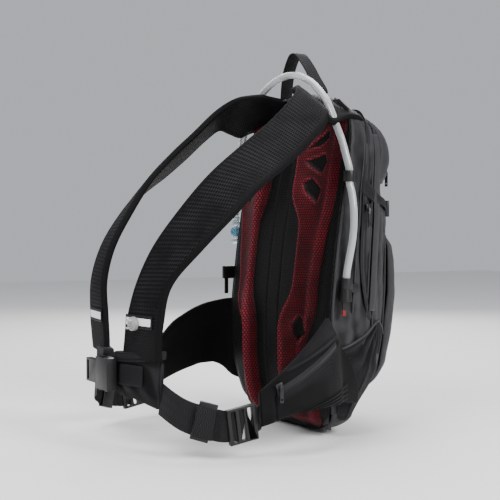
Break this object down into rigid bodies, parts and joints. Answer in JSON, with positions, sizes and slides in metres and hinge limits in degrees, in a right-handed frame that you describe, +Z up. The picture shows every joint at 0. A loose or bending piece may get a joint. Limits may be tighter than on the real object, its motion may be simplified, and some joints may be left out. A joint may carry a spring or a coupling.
{
  "type": "hydration pack",
  "caption": "Slim pack that carries a water bladder, with a ventilated foam back, shoulder straps, hip wings, a chest buckle and a drinking hose with a bite valve.",
  "frame": {"origin": "centre of the flat base panel's underside", "axes": "+Z up towards the haul loop, -Y towards the wearer, +X towards the wearer's left"},
  "size_m": [0.3616, 0.4236, 0.5164],
  "materials": {
    "base_fabric": "coated black pack cloth",
    "pack_fabric": "black ripstop cloth",
    "stretch_fabric": "dark grey stretch weave",
    "sheet_plastic": "matte sheet",
    "air_mesh": "black hexagonal air mesh",
    "red_foam": "crimson foam under black mesh",
    "strap_mesh": "black knitted air mesh",
    "wing_fabric": "black woven cloth",
    "webbing": "black woven webbing",
    "buckle_plastic": "black moulded acetal",
    "tab_grey": "grey moulded plastic",
    "bladder_film": "clear film, filled",
    "bar_blue": "blue plastic bar",
    "hose_clear": "clear flexible tube",
    "valve_blue": "translucent blue",
    "zip_black": "black coil zip",
    "zip_metal": "black painted zinc",
    "reflective": "white reflective tape"
  },
  "bodies": {
    "pack": {"base_panel": "base_fabric", "main_shell": "pack_fabric", "frame_sheet": "sheet_plastic", "back_mesh": "air_mesh", "back_pad_left": "red_foam", "back_pad_right": "red_foam", "upper_pocket": "pack_fabric", "front_pocket": "pack_fabric", "side_pocket_left": "stretch_fabric", "side_pocket_right": "stretch_fabric", "strap_root_left": "strap_mesh", "strap_root_right": "strap_mesh", "hose_port": "buckle_plastic", "port_tab": "tab_grey", "side_hose_clip": "buckle_plastic", "compression_strap_left": "webbing", "compression_strap_right": "webbing", "compression_buckle_left": "buckle_plastic", "compression_buckle_right": "buckle_plastic", "reservoir": "bladder_film", "reservoir_bar": "bar_blue", "inner_hose": "hose_clear", "main_zip_tape": "zip_black", "bottom_loop": "webbing", "side_tab_right": "webbing", "hose_tube": "hose_clear", "valve_body": "hose_clear"},
    "harness_left": {"shoulder_strap_left": "strap_mesh", "wing_left": "wing_fabric", "webbing_left": "webbing", "chest_patch_left": "wing_fabric", "front_band_left": "webbing", "reflective_band_left": "reflective", "chest_socket": "buckle_plastic"},
    "lock_left": {"ladder_lock_left": "buckle_plastic"},
    "keeper_left": {"keeper_left": "buckle_plastic"},
    "wing_slider_left": {"wing_slider_left": "zip_metal"},
    "wing_pull_left": {"wing_pull_left": "zip_metal"},
    "main_slider_left": {"main_slider_left": "zip_metal"},
    "harness_right": {"shoulder_strap_right": "strap_mesh", "wing_right": "wing_fabric", "webbing_right": "webbing", "chest_patch_right": "wing_fabric", "front_band_right": "webbing", "reflective_band_right": "reflective", "chest_plug": "buckle_plastic"},
    "lock_right": {"ladder_lock_right": "buckle_plastic"},
    "keeper_right": {"keeper_right": "buckle_plastic"},
    "wing_slider_right": {"wing_slider_right": "zip_metal"},
    "wing_pull_right": {"wing_pull_right": "zip_metal"},
    "main_slider_right": {"main_slider_right": "zip_metal"},
    "pocket_slider": {"pocket_slider": "zip_metal"},
    "strap_hose_clip": {"strap_hose_clip": "tab_grey"},
    "valve_ring": {"valve_ring": "valve_blue"},
    "haul_loop": {"haul_loop": "webbing"},
    "prong_upper": {"prong_upper": "buckle_plastic"},
    "prong_lower": {"prong_lower": "buckle_plastic"}
  },
  "joints": [
    {"name": "harness_left_swing", "type": "hinge", "parent": "pack", "child": "harness_left", "pos_m": [0.104, -0.046, 0.432], "axis": [-0.0541, -0.0271, 0.9982], "range_deg": [0, 30]},
    {"name": "harness_right_swing", "type": "hinge", "parent": "pack", "child": "harness_right", "pos_m": [-0.104, -0.046, 0.432], "axis": [-0.0541, 0.0271, -0.9982], "range_deg": [0, 30]},
    {"name": "lock_left_tilt", "type": "hinge", "parent": "harness_left", "child": "lock_left", "pos_m": [0.157, -0.172, 0.045], "axis": [0.0988, 0.1186, 0.988], "range_deg": [-12, 18]},
    {"name": "keeper_left_slide", "type": "slide", "parent": "harness_left", "child": "keeper_left", "axis": [-0.4298, -0.8596, 0.2763], "range_m": [-0.003, 0.003]},
    {"name": "wing_zip_left", "type": "hinge", "parent": "harness_left", "child": "wing_slider_left", "pos_m": [0.01773, -0.12706, 0.09781], "axis": [0, -0.4327, 0.9015], "range_deg": [0, 29]},
    {"name": "wing_pull_left_swing", "type": "hinge", "parent": "wing_slider_left", "child": "wing_pull_left", "pos_m": [0.17988, -0.152, 0.08584], "axis": [0.9994, -0.0355, 0], "range_deg": [-50, 50]},
    {"name": "lock_right_tilt", "type": "hinge", "parent": "harness_right", "child": "lock_right", "pos_m": [-0.157, -0.172, 0.045], "axis": [0.0988, -0.1186, -0.988], "range_deg": [-12, 18]},
    {"name": "keeper_right_slide", "type": "slide", "parent": "harness_right", "child": "keeper_right", "axis": [0.4298, -0.8596, 0.2763], "range_m": [-0.003, 0.003]},
    {"name": "wing_zip_right", "type": "hinge", "parent": "harness_right", "child": "wing_slider_right", "pos_m": [-0.01773, -0.12706, 0.09781], "axis": [0, 0.4327, -0.9015], "range_deg": [0, 29]},
    {"name": "wing_pull_right_swing", "type": "hinge", "parent": "wing_slider_right", "child": "wing_pull_right", "pos_m": [-0.17988, -0.152, 0.08584], "axis": [0.9994, 0.0355, 0], "range_deg": [-50, 50]},
    {"name": "main_zip_left", "type": "slide", "parent": "pack", "child": "main_slider_left", "axis": [0, -0.0656, -0.9978], "range_m": [0, 0.05]},
    {"name": "main_zip_right", "type": "slide", "parent": "pack", "child": "main_slider_right", "axis": [0, -0.0656, -0.9978], "range_m": [0, 0.05]},
    {"name": "pocket_zip", "type": "hinge", "parent": "pack", "child": "pocket_slider", "pos_m": [0, -0.255, 0.352], "axis": [0, 0, 1], "range_deg": [0, 14.5]},
    {"name": "hose_clip_swivel", "type": "hinge", "parent": "harness_left", "child": "strap_hose_clip", "pos_m": [0.05989, -0.28008, 0.158], "axis": [0.155, -0.9879, 0.006], "range_deg": [-90, 90]},
    {"name": "valve_twist", "type": "hinge", "parent": "pack", "child": "valve_ring", "pos_m": [-0.142, -0.03, 0.292], "axis": [0, 0, 1], "range_deg": [0, 90]},
    {"name": "haul_loop_fold", "type": "hinge", "parent": "pack", "child": "haul_loop", "pos_m": [0, -0.003, 0.4625], "axis": [-1, 0, 0], "range_deg": [0, 70], "stiffness_Nm_per_rad": 0.01},
    {"name": "prong_upper_squeeze", "type": "hinge", "parent": "harness_right", "child": "prong_upper", "pos_m": [-0.011, -0.303, 0.104], "axis": [0, 1, 0], "range_deg": [0, 6], "stiffness_Nm_per_rad": 0.4},
    {"name": "prong_lower_squeeze", "type": "hinge", "parent": "harness_right", "child": "prong_lower", "pos_m": [-0.011, -0.303, 0.082], "axis": [0, -1, 0], "range_deg": [0, 6], "stiffness_Nm_per_rad": 0.4}
  ],
  "couplings": [
    {"joint": "harness_right_swing", "follows": "harness_left_swing", "ratio": 1}
  ]
}
